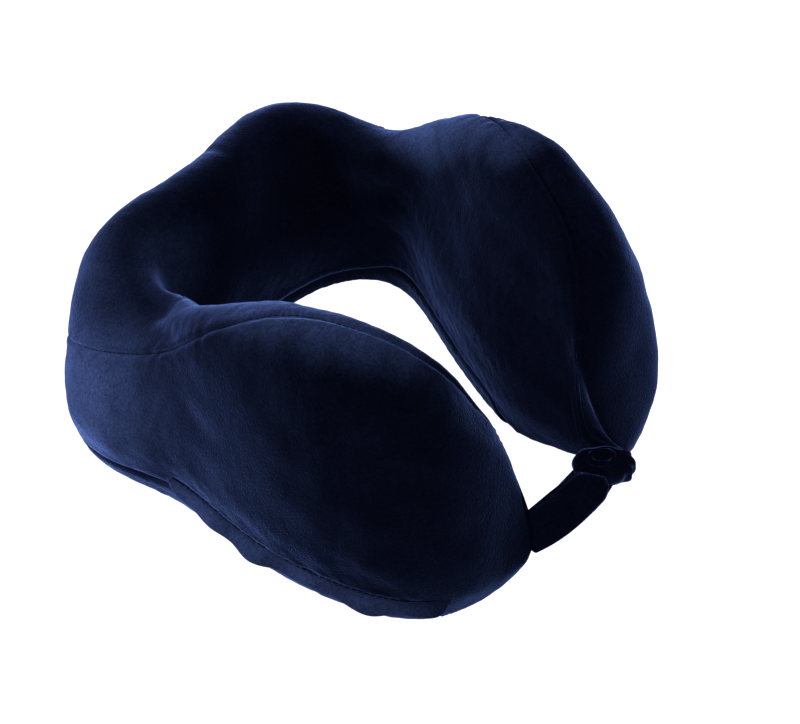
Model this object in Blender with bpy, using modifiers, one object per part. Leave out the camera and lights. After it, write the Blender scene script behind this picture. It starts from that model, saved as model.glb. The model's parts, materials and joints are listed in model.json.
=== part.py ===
"""U-shaped travel neck pillow: a foam core in a zipped velour cover, closed by a snap strap.

Metres, +Z up. The pillow lies on its flat base at z = 0. The neck opening points to -Y, the left arm
is on -X, and the origin is under the middle of the outline.

The body is one loft along a plan curve that is symmetric about the YZ plane. A place on its surface is
(along, around, inset). "along" runs from -1 at the left tip through 0 at the middle of the rear to
+1 at the right tip, and from 1 to 2 over the round cap of a tip. "around" counts twelve control
points of the section, from 0 at the inner bottom edge over the crown to 9 at the outer bottom edge.
"inset" is the depth under the cloth.
"""

import math

import bmesh
import bpy
import numpy as np
from mathutils import Matrix, Vector

# ---------------------------------------------------------------- driving dimensions

CLOTH = 0.0015          # thickness of the velour cover
CORE_INSET = 0.0042     # depth of the foam under the outer face of the cover
SEAM_GAP = 0.00025      # half the clearance between two panels of the cover
SPLIT = 0.40            # where the arms bend, as a share of the way to the tip
SPLIT_GAP = 0.0010      # half the clearance at the bend, as a share of the way to the tip
BEND_STAND = 0.001      # the axis of the bend stands this far outside the body
TIP_ROUND = 0.028       # how far the round cap runs on past the end of an arm
TIP_HEIGHT = 0.026      # height of its pole

# One row per station, from the middle of the rear to the tip of an arm: centreline x and y, inner
# and outer half width, height, sideways lean of the crown, and the place of the top seam as a
# count of section control points.
STATIONS = {
    "rear_middle": (0.0000, 0.1083, 0.0290, 0.0380, 0.1075, 0.0005, 7.2),
    "rear_hump": (0.0570, 0.1028, 0.0335, 0.0370, 0.1035, 0.0120, 7.1),
    "rear_corner": (0.0915, 0.0763, 0.0325, 0.0415, 0.0970, -0.0145, 5.95),
    "waist": (0.1030, 0.0333, 0.0330, 0.0180, 0.1185, -0.0120, 5.42),
    "crown": (0.0920, -0.0242, 0.0450, 0.0325, 0.1500, -0.0060, 4.5),
    "front": (0.0685, -0.0852, 0.0455, 0.0430, 0.1395, -0.0020, 4.2),
    "tip": (0.0535, -0.1147, 0.0280, 0.0295, 0.0995, -0.0090, 4.05),
}
CENTRE_X, CENTRE_Y, HALF_INNER, HALF_OUTER, HEIGHT, LEAN, TOP_SEAM = range(7)

# Shape of the section at the rear and on the arms: how much of the half width is left at the foot,
# the middle and the shoulder, and how high the middle and the shoulder are, inner then outer side.
SECTION_REAR = dict(foot=(0.86, 0.76), middle=(0.91, 0.965), shoulder=(0.64, 0.755),
                    middle_z=(0.43, 0.365), shoulder_z=(0.68, 0.72))
SECTION_ARM = dict(foot=(0.82, 0.825), middle=(0.955, 1.005), shoulder=(0.645, 0.705),
                   middle_z=(0.39, 0.305), shoulder_z=(0.735, 0.705))
SECTION_CHANGE = (0.30, 0.65)    # the section turns from one shape into the other between these
CROWN_Z = 0.965                  # height of the two crown control points, as a share of the height
FOOT_Z = 0.07                    # height of the control points just above the foot
FOOT_BULGE = 0.002               # how far those stand out
TIP_LIFT = 0.0045                # the underside rises this far towards the tip
LIFT_START = 0.75                # starting here
CONTROLS = 12                    # control points of a section
TIP_UNDER = 10.5                 # where the base panel's point lies, under the tip
TIP_TURN = 2.3                   # over the round cap the top seam turns this far towards the neck
TIP_TURN_SPAN = (1.0, 1.35)      # between these
THREAD_END = 1.25                # its thread shows up to here, short of the strap's root

BASE_SEAM_REAR_Z = 0.0085        # height of the seam round the base panel, at the rear
BASE_SEAM_ARM_Z = 0.016          # and along the arms
BASE_SEAM_RISE = (0.32, 0.50)    # it rises between these
BASE_POINT_INNER = (0.78, 0.99)     # the base panel narrows to a point: its inner edge
BASE_POINT_OUTER = (0.88, 0.995)    # and its outer edge move under the tip between these

# Rings of the loft, and columns of each panel.
REAR_RINGS = 17
ARM_RINGS = (0.45, 0.49, 0.53, 0.55, 0.60, 0.65, 0.70, 0.75, 0.80, 0.85, 0.87, 0.90, 0.925, 0.95,
             0.965, 0.98, 0.99, 1.0)
CAP_ANGLES = (8, 15, 22, 30, 45, 60, 72, 82, 88)
BASE_END = 0.98
CORE_COLUMNS = 24
TOP_COLUMNS = 14
OUTER_COLUMNS = 14
BASE_COLUMNS = 11

# Zip, in the base seam of the left arm. It follows a circle, so that the slider can run on it.
ZIP_CENTRE = (0.0903, -0.0209)
ZIP_RADIUS = 0.2116              # to the middle of the tapes
ZIP_ANGLES = (170.6, 203.4)      # from the rear end to the front end, in degrees
ZIP_SLOT = 0.0052                # half the width of the slot between the panels
ZIP_SPAN = (0.53, 0.55, 0.85, 0.87)    # the slot opens and closes between these
TAPE_THICK = 0.0005
TAPE_EDGE = 0.0007               # from the chain's middle line to the inner edge of a tape
UPPER_TAPE = 0.0080              # and to its outer edge
LOWER_TAPE = 0.0036
COIL_RADIUS = 0.0009
COIL_OFFSET = 0.0016
COIL_STAND = 0.00145             # from the tapes' middle to the middle of a coil
FOAM_CLEAR = 0.0026              # the foam stays this far behind the tapes
FOAM_CLEAR_Z = 0.032             # up to this height
FOAM_CLEAR_ANGLE = 3.5           # and this far past the ends of the zip, in degrees
SLIDER_ANGLE = 201.0             # the slider is parked at the front end
SLIDER_LENGTH = 0.009
SLIDER_HALF = 0.0034
PLATE = 0.0008
PULL_PIVOT = 0.0047              # from the tapes' middle to the pivot of the pull
PULL_LENGTH = 0.017
PULL_WIDTH = 0.0062
PULL_THICK = 0.0010
PULL_BAR = 0.0006                # half the width of the bar that turns under the arch
PULL_WINDOW = 0.0065             # far end of the window that the arch passes through
STOP_LENGTH = 0.002

# Strap, hinged at the left tip, and the tab that it snaps to, on the right tip.
STRAP_THICK = 0.004
STRAP_Z = 0.0225
STRAP_INNER_Y = -0.1212
STRAP_OUTER_Y = -0.1462
STRAP_ROOT_X = (0.0335, 0.0400)  # distance of the root's inner and outer corner from the YZ plane
TAB_Z = 0.0135
SNAP_X = 0.007
SNAP_Y = (STRAP_INNER_Y + STRAP_OUTER_Y) / 2
SNAP_RADIUS = 0.0055
POST_RADIUS = 0.0012
POST_HOLE = 0.0016
FIT = 0.0003                     # clearance between pieces that touch on the real pillow

VELOUR = ("velour", (0.012, 0.018, 0.075), 0.9, 0.0)
VELOUR_BASE = ("velour_base", (0.016, 0.024, 0.095), 0.9, 0.0)
FOAM = ("memory_foam", (0.78, 0.76, 0.66), 0.95, 0.0)
THREAD = ("thread", (0.010, 0.014, 0.055), 0.8, 0.0)
TAPE = ("zip_tape", (0.014, 0.018, 0.060), 0.8, 0.0)
NYLON = ("zip_coil", (0.012, 0.015, 0.045), 0.4, 0.0)
ZINC = ("zip_metal", (0.05, 0.055, 0.08), 0.35, 0.9)
SNAP = ("snap_metal", (0.10, 0.11, 0.16), 0.3, 0.9)


# ---------------------------------------------------------------- scene and objects

def clear_scene():
    for old in list(bpy.data.objects):
        bpy.data.objects.remove(old, do_unlink=True)


def material(name, colour, roughness, metallic):
    found = bpy.data.materials.get(name)
    if found:
        return found
    new = bpy.data.materials.new(name)
    new.use_nodes = True
    shader = new.node_tree.nodes["Principled BSDF"]
    shader.inputs["Base Color"].default_value = (*colour, 1.0)
    shader.inputs["Roughness"].default_value = roughness
    shader.inputs["Metallic"].default_value = metallic
    return new


def collection(name):
    new = bpy.data.collections.get(name) or bpy.data.collections.new(name)
    if new.name not in bpy.context.scene.collection.children:
        bpy.context.scene.collection.children.link(new)
    return new


def add_object(name, data, finish, parent=None):
    new = bpy.data.objects.new(name, data)
    collection("neck_pillow").objects.link(new)
    data.materials.append(material(*finish))
    if parent:
        new.parent = parent
    return new


def place_of(parent):
    """World place of a pivot. A piece without one sits at the origin."""
    place = np.zeros(3)
    while parent:
        place += np.array(parent.location)
        parent = parent.parent
    return place


def pivot(name, place, parent=None):
    """An empty on a joint's axis, the parent of the pieces that turn about it."""
    new = bpy.data.objects.new(name, None)
    new.location = np.asarray(place) - place_of(parent)
    new.empty_display_size = 0.02
    collection("neck_pillow").objects.link(new)
    new.parent = parent
    return new


def add_mesh(name, points, faces, finish, parent=None, smooth=True):
    """A mesh object from world points. Its origin is its parent's, which is on the joint's axis."""
    origin = place_of(parent)
    mesh = bpy.data.meshes.new(name)
    mesh.from_pydata((np.asarray(points, float) - origin).tolist(), [], faces)
    work = bmesh.new()
    work.from_mesh(mesh)
    bmesh.ops.recalc_face_normals(work, faces=work.faces)
    work.to_mesh(mesh)
    work.free()
    if smooth:
        mesh.shade_smooth()
    return add_object(name, mesh, finish, parent)


# ---------------------------------------------------------------- the lofted body

def spline(column, at, odd=False):
    """Smooth curve through one column of STATIONS and its mirror image, straight beyond -1 and 1."""
    half = np.array([row[column] for row in STATIONS.values()])
    mirrored = -half[:0:-1] if odd else half[:0:-1]
    values = np.concatenate([mirrored, half])
    count = len(values)
    step = 2.0 / (count - 1)
    system = np.eye(count)
    right = np.zeros(count)
    for i in range(1, count - 1):
        system[i, i - 1:i + 2] = (1, 4, 1)
        right[i] = 6 * (values[i - 1] - 2 * values[i] + values[i + 1]) / step ** 2
    bend = np.linalg.solve(system, right)
    at = np.asarray(at, float)
    inside = np.clip(at, -1, 1)
    i = np.clip(((inside + 1) / step).astype(int), 0, count - 2)
    t = (inside + 1) / step - i
    line = values[i] * (1 - t) + values[i + 1] * t
    curve = ((1 - t) ** 3 - (1 - t)) * bend[i] + (t ** 3 - t) * bend[i + 1]
    end_slope = (values[-1] - values[-2]) / step + bend[-2] * step / 6
    beyond = (np.abs(at) - np.abs(inside)) * end_slope * (np.sign(at) if odd else 1)
    return line + curve * step ** 2 / 6 + beyond


def ease(value, start, end):
    t = np.clip((np.asarray(value, float) - start) / (end - start), 0, 1)
    return t * t * (3 - 2 * t)


def section_value(key, side, change):
    return SECTION_REAR[key][side] * (1 - change) + SECTION_ARM[key][side] * change


def section_controls(along, inset):
    """Control points (outward, up) of the sections, shape (rings, CONTROLS, 2)."""
    inner = spline(HALF_INNER, along) - inset
    outer = spline(HALF_OUTER, along) - inset
    height = spline(HEIGHT, along) - 2 * inset
    lean = spline(LEAN, along)
    lift = TIP_LIFT * np.clip((np.abs(along) - LIFT_START) / (1 - LIFT_START), 0, 1) ** 2
    change = ease(np.abs(along), *SECTION_CHANGE)

    def side_points(side, width, sign):
        foot = section_value("foot", side, change)
        middle = section_value("middle", side, change)
        shoulder = section_value("shoulder", side, change)
        ankle = width * (foot + middle) / 2 + FOOT_BULGE
        return [
            (sign * width * foot, lift),
            (sign * ankle, lift + FOOT_Z * height),
            (sign * width * middle, section_value("middle_z", side, change) * height + 0.6 * lift),
            (sign * width * shoulder + 0.5 * lean, section_value("shoulder_z", side, change) * height),
        ]

    crown = [(-0.35 * inner + lean, CROWN_Z * height), (0.30 * outer + lean, CROWN_Z * height)]
    under = [(0.30 * outer, 0.9 * lift), (-0.30 * inner, 0.9 * lift)]
    points = side_points(0, inner, -1) + crown + side_points(1, outer, 1)[::-1] + under
    return np.stack([np.stack(np.broadcast_arrays(n, z), -1) for n, z in points], 1)


def surface(along, around, inset=0.0):
    """World points of a grid: along has one value a ring, around has one row of values a ring."""
    along = np.asarray(along, float)
    around = np.broadcast_to(np.asarray(around, float), (len(along), np.shape(around)[-1]))
    cap = np.maximum(np.abs(along) - 1, 0) * math.pi / 2
    small = 1e-4
    tip_speed = math.hypot(spline(CENTRE_X, 1, True) - spline(CENTRE_X, 1 - small, True),
                           spline(CENTRE_Y, 1) - spline(CENTRE_Y, 1 - small)) / small
    run_on = (TIP_ROUND - inset) * np.sin(cap) / tip_speed
    at = np.sign(along) * (np.minimum(np.abs(along), 1) + run_on)
    controls = section_controls(at, inset)
    whole = np.floor(around).astype(int)
    t = (around - whole)[..., None]
    rows = np.arange(len(along))[:, None]
    a, b, c, d = (controls[rows, (whole + k) % CONTROLS] for k in (-1, 0, 1, 2))
    flat = 0.5 * (2 * b + (c - a) * t + (2 * a - 5 * b + 4 * c - d) * t ** 2
                  + (3 * b - a - 3 * c + d) * t ** 3)
    tangent_x = spline(CENTRE_X, at + small, True) - spline(CENTRE_X, at - small, True)
    tangent_y = spline(CENTRE_Y, at + small) - spline(CENTRE_Y, at - small)
    length = np.hypot(tangent_x, tangent_y)
    tangent_x, tangent_y = tangent_x / length, tangent_y / length
    centre_x = spline(CENTRE_X, at, True)
    centre_y = spline(CENTRE_Y, at)
    outward = flat[..., 0] * np.cos(cap)[:, None]
    up = np.maximum(flat[..., 1], 0) + inset
    up = TIP_HEIGHT + (up - TIP_HEIGHT) * np.cos(cap)[:, None]
    x = centre_x[:, None] - tangent_y[:, None] * outward
    y = centre_y[:, None] + tangent_x[:, None] * outward
    return np.stack([x, y, up], -1)


def around_at_height(along, height, low, high):
    """Where, between low and high, the section passes a height, for each ring."""
    counts = np.linspace(low, high, 161)
    heights = surface(along, counts)[..., 2]
    if heights[0, 0] > heights[0, -1]:
        counts, heights = counts[::-1], heights[:, ::-1]
    return np.array([np.interp(z, row, counts) for z, row in zip(height, heights)])


def speed(along, around):
    """Length of surface for one count around, at one place of each ring."""
    around = np.asarray(around)[:, None]
    step = surface(along, around + 0.01) - surface(along, around - 0.01)
    return np.maximum(np.linalg.norm(step[:, 0], axis=-1) / 0.02, 0.002)


def slot_width(along, zipped):
    """Half the distance between the outer and the base panel, apart from the seam's clearance."""
    if not zipped:
        return np.zeros(len(along))
    start, full, end, closed = ZIP_SPAN
    place = np.abs(along)
    return ZIP_SLOT * ease(place, start, full) * (1 - ease(place, end, closed))


def top_seam(along):
    """Where the top seam lies, as counts around."""
    turn = TIP_TURN * ease(np.abs(along), *TIP_TURN_SPAN)
    return spline(TOP_SEAM, np.clip(along, -1, 1)) - turn


def panel_edges(along, zipped=False):
    """Edges of the three panels as counts around: dict of name to (from, to), clearance taken off."""
    at = np.clip(along, -1, 1)
    place = np.abs(at)
    top = top_seam(along)
    rise = ease(place, *BASE_SEAM_RISE)
    height = BASE_SEAM_REAR_Z * (1 - rise) + BASE_SEAM_ARM_Z * rise
    half_slot = slot_width(at, zipped)
    outer_high = around_at_height(at, height + half_slot, 6.6, 8.9)
    outer_low = around_at_height(at, height - half_slot, 6.6, 8.9)
    inner = around_at_height(at, height, 0.1, 2.4) + CONTROLS
    under = ease(place, *BASE_POINT_OUTER)
    outer_high = outer_high * (1 - under) + TIP_UNDER * under
    outer_low = outer_low * (1 - under) + TIP_UNDER * under
    under = ease(place, *BASE_POINT_INNER)
    inner = inner * (1 - under) + TIP_UNDER * under

    shrink = np.cos(np.maximum(np.abs(along) - 1, 0) * math.pi / 2)

    def clear(around):
        return SEAM_GAP / (speed(at, around) * shrink)

    return {
        "top": (inner - CONTROLS + clear(inner), top - clear(top)),
        "outer": (top + clear(top), outer_high - clear(outer_high)),
        "base": (outer_low + clear(outer_low), inner - clear(inner)),
    }


def columns(edges, count):
    start, end = (np.asarray(e)[:, None] for e in edges)
    return start + (end - start) * np.linspace(0, 1, count)


def patch_faces(rows, count):
    """Faces of a closed thick patch: an outer and an inner grid of points and the rims between."""
    faces = []
    inner = rows * count
    for i in range(rows - 1):
        for j in range(count - 1):
            a, b = i * count + j, (i + 1) * count + j
            faces.append((a, b, b + 1, a + 1))
            faces.append((inner + a, inner + a + 1, inner + b + 1, inner + b))
    for i in range(rows - 1):
        for j in (0, count - 1):
            a, b = i * count + j, (i + 1) * count + j
            faces.append((b, a, inner + a, inner + b))
    for j in range(count - 1):
        for i in (0, rows - 1):
            a = i * count + j
            faces.append((a, a + 1, inner + a + 1, inner + a))
    return faces


def add_patch(name, outer, inner, finish, parent=None):
    rows, count = outer.shape[:2]
    points = np.concatenate([outer.reshape(-1, 3), inner.reshape(-1, 3)])
    return add_mesh(name, points, patch_faces(rows, count), finish, parent)


def add_solid_loft(name, rings, finish, parent=None):
    """A closed body through rings of points, with a flat cap at each end."""
    rows, count = rings.shape[:2]
    faces = []
    for i in range(rows - 1):
        for j in range(count):
            a, b = i * count + j, i * count + (j + 1) % count
            faces.append((a, a + count, b + count, b))
    faces.append(tuple(range(count)))
    faces.append(tuple(range((rows - 1) * count, rows * count)))
    return add_mesh(name, rings.reshape(-1, 3), faces, finish, parent)


def add_tube(name, path, radius, finish, parent=None):
    """A round wire along world points, with closed ends."""
    origin = place_of(parent)
    curve = bpy.data.curves.new(name, "CURVE")
    curve.dimensions = "3D"
    curve.bevel_depth = radius
    curve.bevel_resolution = 1
    curve.use_fill_caps = True
    line = curve.splines.new("POLY")
    line.points.add(len(path) - 1)
    for point, place in zip(line.points, np.asarray(path) - origin):
        point.co = (*place, 1.0)
    return add_object(name, curve, finish, parent)


def add_plate(name, loops, thickness, finish, parent):
    """A flat outline with holes, as a filled 2D curve with thickness. Points are local to the parent."""
    curve = bpy.data.curves.new(name, "CURVE")
    curve.dimensions = "2D"
    curve.fill_mode = "BOTH"
    curve.extrude = thickness / 2
    for loop in loops:
        line = curve.splines.new("POLY")
        line.points.add(len(loop) - 1)
        line.use_cyclic_u = True
        for point, (x, y) in zip(line.points, loop):
            point.co = (x, y, 0.0, 1.0)
    return add_object(name, curve, finish, parent)


def rings_of(part):
    """Ring positions of the rear, or of one arm with its round cap, in rising order."""
    if part == "rear":
        return np.linspace(-SPLIT + SPLIT_GAP, SPLIT - SPLIT_GAP, REAR_RINGS)
    caps = [1 + angle / 90 for angle in CAP_ANGLES]
    right = np.array([SPLIT + SPLIT_GAP, *ARM_RINGS, *caps])
    return right if part == "right" else -right[::-1]


def zip_recess(points):
    """Keeps the foam clear of the zip: foam behind the chain is cut back to a circle."""
    relative = points[..., :2] - np.array(ZIP_CENTRE)
    radius = np.linalg.norm(relative, axis=-1)
    angle = np.degrees(np.arctan2(relative[..., 1], relative[..., 0])) % 360
    near = (angle > ZIP_ANGLES[0] - FOAM_CLEAR_ANGLE) & (angle < ZIP_ANGLES[1] + FOAM_CLEAR_ANGLE)
    near &= (points[..., 2] < FOAM_CLEAR_Z) & (radius > ZIP_RADIUS - FOAM_CLEAR)
    scale = np.where(near, (ZIP_RADIUS - FOAM_CLEAR) / radius, 1.0)
    points[..., :2] = np.array(ZIP_CENTRE) + relative * scale[..., None]
    return points


def build_body(part, parent=None):
    """Foam core, three cover panels and the top seam's thread of the rear or of one arm."""
    suffix = {"rear": "rear", "left": "left_arm", "right": "right_arm"}[part]
    rings = rings_of(part)
    around = np.linspace(0, CONTROLS, CORE_COLUMNS, endpoint=False)
    core = surface(rings, around, CORE_INSET)
    if part == "left":
        core = zip_recess(core)
    add_solid_loft(f"foam_core_{suffix}", core, FOAM, parent)
    edges = panel_edges(rings, part == "left")
    for panel, count, finish in (("top", TOP_COLUMNS, VELOUR), ("outer", OUTER_COLUMNS, VELOUR)):
        place = columns(edges[panel], count)
        add_patch(f"cover_{panel}_{suffix}", surface(rings, place), surface(rings, place, CLOTH),
                  finish, parent)
    flat = rings[np.abs(rings) <= BASE_END + 1e-6]
    place = columns(panel_edges(flat, part == "left")["base"], BASE_COLUMNS)
    add_patch(f"cover_base_{suffix}", surface(flat, place), surface(flat, place, CLOTH), VELOUR_BASE, parent)
    sewn = rings[np.abs(rings) < THREAD_END]
    thread = surface(sewn, top_seam(sewn)[:, None], -0.0007)[:, 0]
    add_tube(f"seam_thread_{suffix}", thread, 0.00035, THREAD, parent)


# ---------------------------------------------------------------- zip

def on_zip(angle, stand, height):
    """World point at an angle on the zip's circle, stand outside the tapes' middle."""
    turn = np.radians(angle)
    radius = ZIP_RADIUS + stand
    return np.stack(np.broadcast_arrays(ZIP_CENTRE[0] + radius * np.cos(turn),
                                        ZIP_CENTRE[1] + radius * np.sin(turn), height), -1)


def sweep_on_zip(name, profile, start, end, steps, finish, parent=None):
    """A profile of (stand, height) points swept along the zip's circle, as one closed body."""
    angles = np.linspace(start, end, steps)
    stand, height = np.array(profile).T
    rings = on_zip(angles[:, None], stand[None], height[None])
    return add_solid_loft(name, rings, finish, parent)


def zip_degrees(length):
    return math.degrees(length / ZIP_RADIUS)


def slider_profile():
    """Section of the slider: a front plate with two flanges, a web between the coils, a back plate."""
    half, web = SLIDER_HALF, COIL_OFFSET - COIL_RADIUS - FIT
    coil_top = COIL_STAND + COIL_RADIUS + FIT
    front = coil_top + PLATE
    back = -TAPE_THICK / 2 - FIT
    flange = TAPE_THICK / 2 + FIT
    lip = half - 0.0006
    right_side = [(front, half), (flange, half), (flange, lip), (coil_top, lip), (coil_top, web),
                  (back, web), (back, half), (back - PLATE, half)]
    left_side = [(stand, -height) for stand, height in reversed(right_side)]
    return [(stand, BASE_SEAM_ARM_Z + height) for stand, height in right_side + left_side]


def build_slider(parent):
    """Slider body with the arch that holds the pull, joined into one solid."""
    half_turn = zip_degrees(SLIDER_LENGTH) / 2
    slider = sweep_on_zip("zipper_slider", slider_profile(), SLIDER_ANGLE - half_turn,
                          SLIDER_ANGLE + half_turn, 5, ZINC, parent)
    foot = COIL_STAND + COIL_RADIUS + FIT + PLATE / 2
    arch = []
    for turn in np.linspace(0, math.pi, 9):
        reach = zip_degrees(0.0026 * math.cos(turn))
        stand = foot + (PULL_PIVOT - foot + 0.0016) * math.sin(turn) ** 0.6
        arch.append(on_zip(SLIDER_ANGLE + reach, stand, BASE_SEAM_ARM_Z))
    wire = add_tube("slider_arch_curve", arch, 0.0005, ZINC, parent)
    bpy.context.view_layer.update()
    solid = bpy.data.meshes.new_from_object(wire.evaluated_get(bpy.context.evaluated_depsgraph_get()))
    weld = bmesh.new()
    weld.from_mesh(solid)
    bmesh.ops.remove_doubles(weld, verts=weld.verts, dist=1e-6)
    bmesh.ops.recalc_face_normals(weld, faces=weld.faces)
    weld.to_mesh(solid)
    weld.free()
    place = wire.matrix_world.copy()
    bpy.data.objects.remove(wire)
    cutter = bpy.data.objects.new("slider_arch", solid)
    collection("construction").objects.link(cutter)
    cutter.matrix_world = place
    cutter.hide_render = True
    cutter.display_type = "WIRE"
    join = slider.modifiers.new("arch", "BOOLEAN")
    join.operation = "UNION"
    join.solver = "EXACT"
    join.object = cutter


def rounded_rectangle(low_x, high_x, half_y, radius, steps=4):
    """Outline of a rectangle with round corners, as a list of (x, y)."""
    outline = []
    centres = [(high_x - radius, half_y - radius), (low_x + radius, half_y - radius),
               (low_x + radius, radius - half_y), (high_x - radius, radius - half_y)]
    for quarter, (x, y) in enumerate(centres):
        for turn in np.linspace(0, math.pi / 2, steps) + quarter * math.pi / 2:
            outline.append((x + radius * math.cos(turn), y + radius * math.sin(turn)))
    return outline


def build_pull(parent):
    """Flat pull with a window near its root. The bar beside the window passes under the arch."""
    pull = add_plate("zipper_pull", [
        rounded_rectangle(-PULL_BAR, PULL_LENGTH, PULL_WIDTH / 2, 0.0005 + PULL_BAR / 2),
        rounded_rectangle(PULL_BAR, PULL_WINDOW, PULL_WIDTH / 4, PULL_BAR),
    ], PULL_THICK, ZINC, parent)
    outward = math.radians(SLIDER_ANGLE)
    along_zip = Vector((math.sin(outward), -math.cos(outward), 0.0))
    up = Vector((0.0, 0.0, 1.0))
    pull.matrix_local = Matrix((along_zip, up, along_zip.cross(up))).transposed().to_4x4()


def build_zip(parent):
    """Two tapes, a coil on each, and a stop at each end."""
    first, last = ZIP_ANGLES
    middle = BASE_SEAM_ARM_Z
    half = TAPE_THICK / 2
    stop = zip_degrees(STOP_LENGTH)
    clearance = zip_degrees(2 * FIT)
    for side, sign, width in (("upper", 1, UPPER_TAPE), ("lower", -1, LOWER_TAPE)):
        edge, far = middle + sign * TAPE_EDGE, middle + sign * width
        profile = [(half, edge), (half, far), (-half, far), (-half, edge)]
        sweep_on_zip(f"zipper_tape_{side}", profile, first - clearance, last + clearance, 25, TAPE, parent)
        angles = np.linspace(first + stop + clearance, last - stop - clearance, 25)
        path = on_zip(angles, COIL_STAND, middle + sign * COIL_OFFSET)
        add_tube(f"zipper_coil_{side}", path, COIL_RADIUS, NYLON, parent)
    low, high, reach = half + FIT, COIL_STAND + COIL_RADIUS, COIL_OFFSET + COIL_RADIUS
    block = [(high, middle + reach), (low, middle + reach), (low, middle - reach), (high, middle - reach)]
    sweep_on_zip("zipper_rear_stop", block, first, first + stop, 3, ZINC, parent)
    sweep_on_zip("zipper_front_stop", block, last - stop, last, 3, ZINC, parent)


# ---------------------------------------------------------------- strap and snap

def add_band(name, side, height, parent):
    """The strap (side -1) or the tab (side 1): a slanting root at a tip, a round end past the snap."""
    radius = (STRAP_INNER_Y - STRAP_OUTER_Y) / 2
    inner, outer = STRAP_ROOT_X
    outline = [(side * inner, STRAP_INNER_Y), (side * outer, STRAP_OUTER_Y)]
    for turn in np.linspace(-math.pi / 2, math.pi / 2, 13):
        outline.append((SNAP_X - side * radius * math.cos(turn), SNAP_Y + radius * math.sin(turn)))
    hole = round_hole(SNAP_X, SNAP_Y, POST_HOLE)
    x, y, z = place_of(parent)
    loops = [[(px - x, py - y) for px, py in loop] for loop in (outline, hole)]
    band = add_plate(name, loops, STRAP_THICK, VELOUR, parent)
    band.location.z = height - z
    return band


def round_hole(x, y, radius):
    return [(x + radius * math.cos(t), y + radius * math.sin(t))
            for t in np.linspace(0, 2 * math.pi, 16, endpoint=False)]


def add_turned(name, profile, parent, steps=16):
    """A turned piece on the snap's axis. The profile is (radius, z), down the outer side."""
    origin = place_of(parent)
    mesh = bpy.data.meshes.new(name)
    points = [(radius, 0.0, z) for radius, z in profile]
    mesh.from_pydata(points, [(i, i + 1) for i in range(len(points) - 1)], [])
    piece = add_object(name, mesh, SNAP, parent)
    piece.location = (SNAP_X - origin[0], SNAP_Y - origin[1], -origin[2])
    screw = piece.modifiers.new("turn", "SCREW")
    screw.steps = steps
    screw.render_steps = steps
    screw.use_merge_vertices = True
    screw.merge_threshold = 1e-5
    screw.use_smooth_shade = True
    return piece


def build_strap(parent):
    """Velour strap with a cap on top and a socket below, riveted through the same hole."""
    low, high = STRAP_Z - STRAP_THICK / 2, STRAP_Z + STRAP_THICK / 2
    add_band("strap_band", -1, STRAP_Z, parent)
    cap = high + FIT
    add_turned("snap_cap", [
        (0, cap + 0.0014), (0.0030, cap + 0.0013), (0.0050, cap + 0.0009), (SNAP_RADIUS, cap + 0.0003),
        (SNAP_RADIUS, cap), (POST_RADIUS, cap), (POST_RADIUS, low), (0, low),
    ], parent)
    top, bottom, chamfer = low - FIT, low - FIT - 0.0022, 0.0004
    mouth, roof = 0.0022, bottom + 0.0015
    add_turned("snap_socket", [
        (0, top), (SNAP_RADIUS - chamfer, top), (SNAP_RADIUS, top - chamfer),
        (SNAP_RADIUS, bottom + chamfer), (SNAP_RADIUS - chamfer, bottom), (mouth, bottom),
        (mouth, roof), (0, roof),
    ], parent)


def build_tab(parent):
    """Short tab on the right tip with a stud on top and a rivet below."""
    low, high = TAB_Z - STRAP_THICK / 2, TAB_Z + STRAP_THICK / 2
    add_band("strap_tab", 1, TAB_Z, parent)
    base = high + FIT
    add_turned("snap_stud", [
        (0, base + 0.0019), (0.0012, base + 0.0019), (0.0018, base + 0.0015), (0.0016, base + 0.0008),
        (SNAP_RADIUS, base + 0.0005), (SNAP_RADIUS, base), (0, base),
    ], parent)
    top = low - FIT
    add_turned("snap_rivet", [
        (0, high), (POST_RADIUS, high), (POST_RADIUS, top), (SNAP_RADIUS, top),
        (SNAP_RADIUS, top - 0.0004), (0.0045, top - 0.0010), (0, top - 0.0012),
    ], parent)


def bend_place(side):
    """A point just outside the body where an arm bends: the outer cloth stays, the inner side opens."""
    section = surface([side * SPLIT], np.linspace(6.0, 8.0, 41))[0]
    middle = np.array([side * spline(CENTRE_X, SPLIT, True), spline(CENTRE_Y, SPLIT)])
    reach = np.linalg.norm(section[:, :2] - middle, axis=1)
    outermost = section[reach.argmax()]
    outward = (outermost[:2] - middle) / reach.max()
    return (*(outermost[:2] + outward * BEND_STAND), 0.0)


def build_pillow():
    clear_scene()
    build_body("rear")
    left = pivot("arm_left_hinge", bend_place(-1))
    right = pivot("arm_right_hinge", bend_place(1))
    build_body("left", left)
    build_body("right", right)
    build_zip(left)
    slider = pivot("zipper_slider_path", (*ZIP_CENTRE, BASE_SEAM_ARM_Z), left)
    build_slider(slider)
    pull = pivot("zipper_pull_hinge", on_zip(SLIDER_ANGLE, PULL_PIVOT, BASE_SEAM_ARM_Z), slider)
    build_pull(pull)
    root = sum(STRAP_ROOT_X) / 2
    build_strap(pivot("strap_hinge", (-root, SNAP_Y, STRAP_Z), left))
    build_tab(pivot("strap_tab_hinge", (root, SNAP_Y, TAB_Z), right))


build_pillow()
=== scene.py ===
"""Looks of the navy neck pillow: velour cover panels, foam, seams, zip and snap strap, in a plain studio.

The cover follows the same loft as the CAD model. A place on it is (along, around, inset): "along" is
0 at the middle of the rear, 1 where an arm's round cap starts and 2 at its pole, negative on the left;
"around" counts twelve control points of the section, from the inner foot over the crown; "inset" is
the depth under the cloth.
"""

import json
import math

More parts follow.
